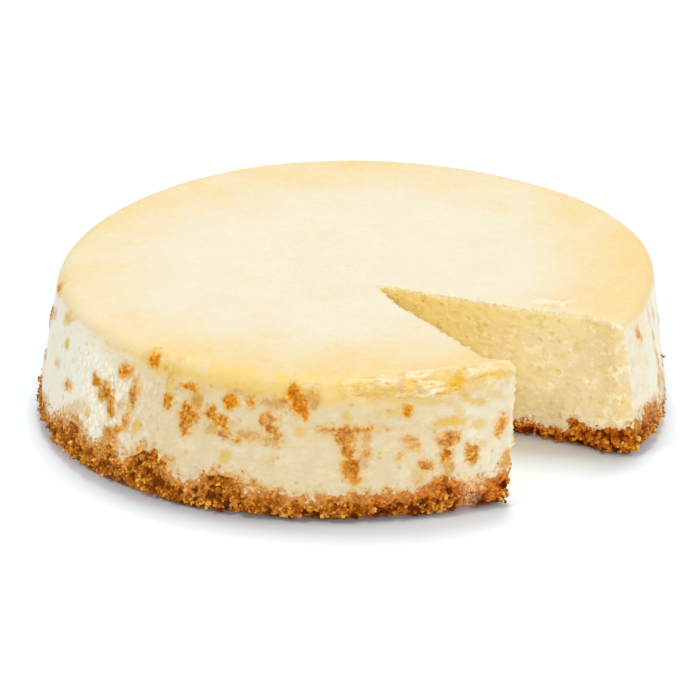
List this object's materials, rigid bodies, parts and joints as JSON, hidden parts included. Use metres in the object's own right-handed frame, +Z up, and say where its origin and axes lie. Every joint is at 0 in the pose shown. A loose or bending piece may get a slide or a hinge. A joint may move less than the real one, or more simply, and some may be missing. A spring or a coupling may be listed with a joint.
{
  "type": "baked cheesecake",
  "caption": "Round baked cheesecake: a pale cheese filling on a biscuit-crumb base, with one wedge-shaped slice cut out.",
  "frame": {"origin": "middle of the underside of the crumb base, on the surface that the cake rests on", "axes": "+Z up through the middle of the cake. The missing slice opens between +X and -Y."},
  "size_m": [0.2285, 0.2306, 0.0518],
  "materials": {
    "baked_crumb": "golden brown pressed biscuit crumbs, matt and granular",
    "baked_cheese": "pale cream baked cheese, satin on top and dull on its cut faces"
  },
  "bodies": {
    "root": {"crumb_base": "baked_crumb", "cheese_filling": "baked_cheese"}
  },
  "joints": []
}
